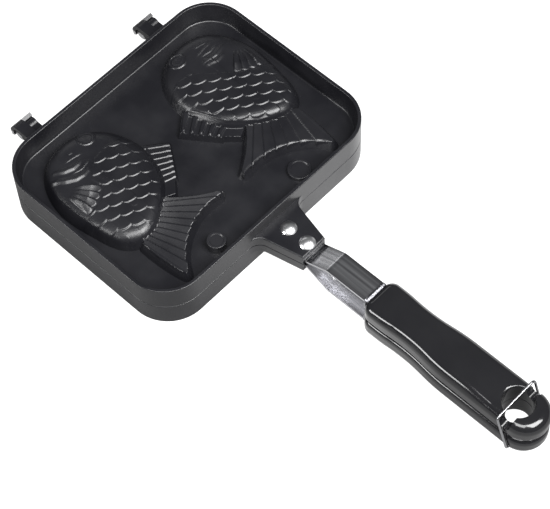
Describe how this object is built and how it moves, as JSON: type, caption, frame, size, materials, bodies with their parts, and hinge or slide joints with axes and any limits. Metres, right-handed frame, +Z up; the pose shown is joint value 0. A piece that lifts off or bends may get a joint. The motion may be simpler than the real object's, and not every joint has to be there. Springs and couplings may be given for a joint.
{
  "type": "taiyaki maker",
  "caption": "Hand-held two-sided pan that bakes fish-shaped cakes: hinged cast plates, steel straps, split black grip and a wire bail that holds it shut.",
  "frame": {"origin": "middle of the whole maker seen from above, on the table that the lower plate's rim stands on", "axes": "+X from the hinges to the handle, +Z up, +Y to the left when looking from the hinges to the handle"},
  "size_m": [0.3666, 0.18, 0.0339],
  "materials": {
    "coated_casting": "satin black non-stick coating on cast aluminium",
    "strap_steel": "brushed stainless",
    "rivet_metal": "polished",
    "grip_plastic": "gloss black, heat resistant",
    "screw_steel": "plain",
    "wire_steel": "bright spring wire"
  },
  "bodies": {
    "base": {"lower_plate": "coated_casting", "lower_strap": "strap_steel", "lower_rivet_front": "rivet_metal", "lower_rivet_rear": "rivet_metal", "lower_grip": "grip_plastic", "lower_ferrule": "strap_steel", "lower_grip_screw": "screw_steel"},
    "lid": {"upper_plate": "coated_casting", "upper_strap": "strap_steel", "upper_rivet_front": "rivet_metal", "upper_rivet_rear": "rivet_metal", "upper_grip": "grip_plastic", "upper_ferrule": "strap_steel", "upper_grip_screw": "screw_steel"},
    "bail": {"wire_bail": "wire_steel"}
  },
  "joints": [
    {"name": "lid_hinge", "type": "hinge", "parent": "base", "child": "lid", "pos_m": [-0.1765, 0, 0.01695], "axis": [0, -1, 0], "range_deg": [0, 100]},
    {"name": "bail_swing", "type": "hinge", "parent": "base", "child": "bail", "pos_m": [0.1703, 0, 0.00745], "axis": [0, 1, 0], "range_deg": [0, 270]}
  ]
}
